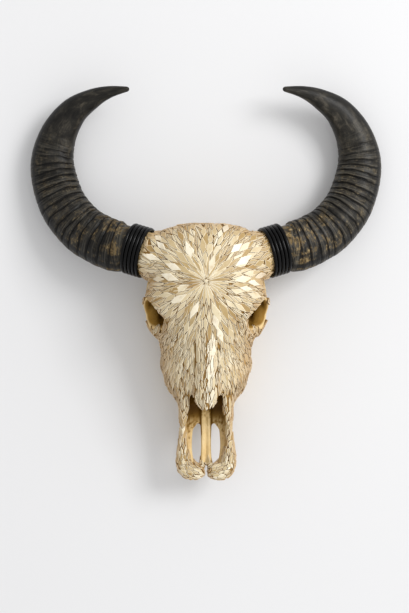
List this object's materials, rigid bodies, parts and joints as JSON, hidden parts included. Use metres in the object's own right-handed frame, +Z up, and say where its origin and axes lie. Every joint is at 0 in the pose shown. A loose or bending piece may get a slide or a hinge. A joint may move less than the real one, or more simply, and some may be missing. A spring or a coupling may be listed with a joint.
{
  "type": "mosaic water buffalo skull",
  "caption": "Water buffalo skull covered in a radiating mosaic of bone chips, with long swept horns bound on by black cord, lying face up.",
  "frame": {"origin": "on the floor under the middle of the object's box", "axes": "+X to the right as the picture shows it, +Y towards the poll and the horn tips, +Z up out of the forehead, towards the viewer"},
  "size_m": [0.6924, 0.7618, 0.2028],
  "materials": {
    "bone": "matt cream, ivory and tan bone chips in brown grout",
    "horn": "charcoal black keratin, ridged and mottled brown near the base, smooth towards the tip",
    "cord": "smooth glossy black cord"
  },
  "bodies": {
    "root": {"skull": "bone", "horn_left": "horn", "horn_right": "horn", "binding_left": "cord", "binding_right": "cord"}
  },
  "joints": []
}
